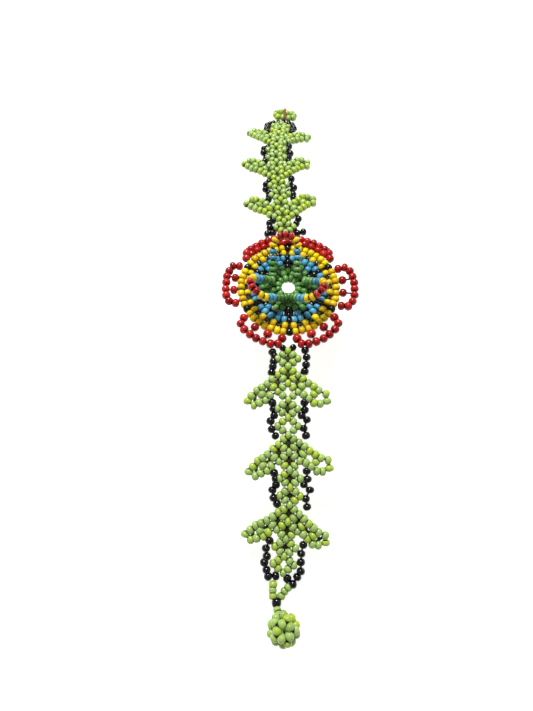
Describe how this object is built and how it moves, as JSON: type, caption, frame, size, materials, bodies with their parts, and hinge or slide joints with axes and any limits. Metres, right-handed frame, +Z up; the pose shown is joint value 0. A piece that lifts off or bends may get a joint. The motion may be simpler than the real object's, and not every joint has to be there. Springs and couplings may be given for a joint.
{
  "type": "beaded bracelet",
  "caption": "Netted seed-bead bracelet: a layered flower between two leafy bands, with a bead ball and a loop to close it.",
  "frame": {"origin": "on the ground under the middle of the bracelet's box, as it stands on its two ends", "axes": "+Z up, +Y along the bracelet from the ball end to the loop end, +X across it"},
  "size_m": [0.0384, 0.184, 0.0278],
  "materials": {
    "lime_glass": "glossy opaque",
    "green_glass": "glossy opaque",
    "blue_glass": "glossy opaque",
    "yellow_glass": "glossy opaque",
    "red_glass": "glossy opaque",
    "black_glass": "glossy opaque",
    "brown_thread": "twisted thread"
  },
  "bodies": {
    "flower": {"green_centre": "green_glass", "petal_1": "yellow_glass", "petal_2": "yellow_glass", "petal_3": "yellow_glass", "petal_4": "yellow_glass", "petal_5": "yellow_glass", "petal_6": "yellow_glass", "red_lobe_1": "red_glass", "red_lobe_2": "red_glass", "red_lobe_3": "red_glass", "red_lobe_4": "red_glass", "red_lobe_5": "red_glass", "red_lobe_6": "red_glass", "black_spoke_1": "black_glass", "black_spoke_2": "black_glass", "black_spoke_3": "black_glass", "black_spoke_4": "black_glass", "black_spoke_5": "black_glass", "black_spoke_6": "black_glass"},
    "inner_loop_upper": {"inner_loop_upper": "blue_glass"},
    "inner_loop_left": {"inner_loop_left": "blue_glass"},
    "inner_loop_right": {"inner_loop_right": "blue_glass"},
    "near_band_1": {"near_spine_1": "lime_glass", "near_collar": "black_glass", "near_edging_1_left": "black_glass", "near_edging_1_right": "black_glass"},
    "near_leaf_1_left": {"near_leaf_1_left": "lime_glass"},
    "near_leaf_1_right": {"near_leaf_1_right": "lime_glass"},
    "near_band_2": {"near_spine_2": "lime_glass", "near_edging_2_left": "black_glass", "near_edging_2_right": "black_glass"},
    "near_leaf_2_left": {"near_leaf_2_left": "lime_glass"},
    "near_leaf_2_right": {"near_leaf_2_right": "lime_glass"},
    "near_band_3": {"near_spine_3": "lime_glass"},
    "near_leaf_3_left": {"near_leaf_3_left": "lime_glass"},
    "near_leaf_3_right": {"near_leaf_3_right": "lime_glass"},
    "near_band_4": {"near_spine_4": "lime_glass", "near_end_edging": "black_glass"},
    "far_band_1": {"far_spine_1": "lime_glass", "far_collar": "black_glass", "far_edging_1_left": "black_glass", "far_edging_1_right": "black_glass"},
    "far_leaf_1_left": {"far_leaf_1_left": "lime_glass"},
    "far_leaf_1_right": {"far_leaf_1_right": "lime_glass"},
    "far_band_2": {"far_spine_2": "lime_glass", "far_edging_2_left": "black_glass", "far_edging_2_right": "black_glass"},
    "far_leaf_2_left": {"far_leaf_2_left": "lime_glass"},
    "far_leaf_2_right": {"far_leaf_2_right": "lime_glass"},
    "far_band_3": {"far_spine_3": "lime_glass"},
    "far_leaf_3_left": {"far_leaf_3_left": "lime_glass"},
    "far_leaf_3_right": {"far_leaf_3_right": "lime_glass"},
    "far_band_4": {"far_spine_4": "lime_glass", "far_end_edging": "black_glass"},
    "strand": {"forked_strand": "lime_glass", "clasp_bead": "black_glass"},
    "ball": {"neck": "lime_glass", "bead_ball": "lime_glass"},
    "closing_loop": {"closing_loop": "lime_glass", "tie_thread": "brown_thread"}
  },
  "joints": [
    {"name": "inner_loop_upper_tilt", "type": "hinge", "parent": "flower", "child": "inner_loop_upper", "pos_m": [0, 0.00724, 0.01869], "axis": [1, 0, 0], "range_deg": [-28, 38]},
    {"name": "inner_loop_left_tilt", "type": "hinge", "parent": "flower", "child": "inner_loop_left", "pos_m": [-0.00294, 0.00215, 0.01906], "axis": [-0.5, 0.8637, -0.0639], "range_deg": [-28, 38]},
    {"name": "inner_loop_right_tilt", "type": "hinge", "parent": "flower", "child": "inner_loop_right", "pos_m": [0.00294, 0.00215, 0.01906], "axis": [-0.5, -0.8637, 0.0639], "range_deg": [-28, 38]},
    {"name": "near_bend_1", "type": "hinge", "parent": "flower", "child": "near_band_1", "pos_m": [0, -0.01516, 0.01824], "axis": [1, -0.0087, 0.0006], "range_deg": [-15, 30]},
    {"name": "near_leaf_1_left_droop", "type": "hinge", "parent": "near_band_1", "child": "near_leaf_1_left", "pos_m": [-0.00349, -0.02338, 0.01704], "axis": [-0.0085, -0.9896, -0.1438], "range_deg": [-25, 30]},
    {"name": "near_leaf_1_right_droop", "type": "hinge", "parent": "near_band_1", "child": "near_leaf_1_right", "pos_m": [0.00334, -0.02344, 0.01704], "axis": [0.0085, 0.9896, 0.1438], "range_deg": [-25, 30]},
    {"name": "near_bend_2", "type": "hinge", "parent": "near_band_1", "child": "near_band_2", "pos_m": [-0.00019, -0.03745, 0.015], "axis": [0.9997, 0.0258, 0.0057], "range_deg": [-15, 30]},
    {"name": "near_leaf_2_left_droop", "type": "hinge", "parent": "near_band_2", "child": "near_leaf_2_left", "pos_m": [-0.00349, -0.04175, 0.01367], "axis": [0.0264, -0.9546, -0.2967], "range_deg": [-25, 30]},
    {"name": "near_leaf_2_right_droop", "type": "hinge", "parent": "near_band_2", "child": "near_leaf_2_right", "pos_m": [0.00334, -0.04158, 0.01371], "axis": [-0.0264, 0.9546, 0.2967], "range_deg": [-25, 30]},
    {"name": "near_bend_3", "type": "hinge", "parent": "near_band_2", "child": "near_band_3", "pos_m": [0.0003, -0.0552, 0.00948], "axis": [0.9954, -0.0907, -0.0305], "range_deg": [-15, 30]},
    {"name": "near_leaf_3_left_droop", "type": "hinge", "parent": "near_band_3", "child": "near_leaf_3_left", "pos_m": [-0.00352, -0.05896, 0.00792], "axis": [-0.0955, -0.9211, -0.3773], "range_deg": [-25, 30]},
    {"name": "near_leaf_3_right_droop", "type": "hinge", "parent": "near_band_3", "child": "near_leaf_3_right", "pos_m": [0.00328, -0.05958, 0.00771], "axis": [0.0955, 0.9211, 0.3773], "range_deg": [-25, 30]},
    {"name": "near_bend_4", "type": "hinge", "parent": "near_band_3", "child": "near_band_4", "pos_m": [-0.00117, -0.06934, 0.00369], "axis": [0.9945, -0.0987, -0.0338], "range_deg": [-15, 30]},
    {"name": "far_bend_1", "type": "hinge", "parent": "flower", "child": "far_band_1", "pos_m": [0, 0.02254, 0.01545], "axis": [-0.9962, -0.0869, 0.0064], "range_deg": [-15, 30]},
    {"name": "far_leaf_1_left_droop", "type": "hinge", "parent": "far_band_1", "child": "far_leaf_1_left", "pos_m": [-0.00413, 0.0305, 0.0145], "axis": [0.0871, -0.9893, 0.1169], "range_deg": [-25, 30]},
    {"name": "far_leaf_1_right_droop", "type": "hinge", "parent": "far_band_1", "child": "far_leaf_1_right", "pos_m": [0.00268, 0.03109, 0.01445], "axis": [-0.0871, 0.9893, -0.1169], "range_deg": [-25, 30]},
    {"name": "far_bend_2", "type": "hinge", "parent": "far_band_1", "child": "far_band_2", "pos_m": [-0.00196, 0.04482, 0.01282], "axis": [-0.9994, -0.035, 0.0003], "range_deg": [-15, 30]},
    {"name": "far_leaf_2_left_droop", "type": "hinge", "parent": "far_band_2", "child": "far_leaf_2_left", "pos_m": [-0.00553, 0.04904, 0.01196], "axis": [0.0344, -0.9803, 0.1947], "range_deg": [-25, 30]},
    {"name": "far_leaf_2_right_droop", "type": "hinge", "parent": "far_band_2", "child": "far_leaf_2_right", "pos_m": [0.0013, 0.04927, 0.01196], "axis": [-0.0344, 0.9803, -0.1947], "range_deg": [-25, 30]},
    {"name": "far_bend_3", "type": "hinge", "parent": "far_band_2", "child": "far_band_3", "pos_m": [-0.0026, 0.06306, 0.0092], "axis": [-0.9944, 0.1017, -0.0268], "range_deg": [-15, 30]},
    {"name": "far_leaf_3_left_droop", "type": "hinge", "parent": "far_band_3", "child": "far_leaf_3_left", "pos_m": [-0.00553, 0.06755, 0.00766], "axis": [-0.1049, -0.939, 0.3274], "range_deg": [-25, 30]},
    {"name": "far_leaf_3_right_droop", "type": "hinge", "parent": "far_band_3", "child": "far_leaf_3_right", "pos_m": [0.00126, 0.06686, 0.00784], "axis": [0.1049, 0.939, -0.3274], "range_deg": [-25, 30]},
    {"name": "far_bend_4", "type": "hinge", "parent": "far_band_3", "child": "far_band_4", "pos_m": [-0.00099, 0.07747, 0.00417], "axis": [-0.9902, 0.1345, -0.0382], "range_deg": [-15, 30]},
    {"name": "strand_swing", "type": "hinge", "parent": "near_band_4", "child": "strand", "pos_m": [-0.00207, -0.07724, 0.00085], "axis": [0.9935, -0.1135, 0], "range_deg": [-60, 60]},
    {"name": "ball_swing", "type": "hinge", "parent": "strand", "child": "ball", "pos_m": [-0.00348, -0.08296, 0.0012], "axis": [0.9935, -0.1135, 0], "range_deg": [-30, 30]},
    {"name": "closing_loop_swing", "type": "hinge", "parent": "far_band_4", "child": "closing_loop", "pos_m": [0.00017, 0.08486, 0.0019], "axis": [-0.988, 0.1547, 0], "range_deg": [-35, 35]}
  ]
}
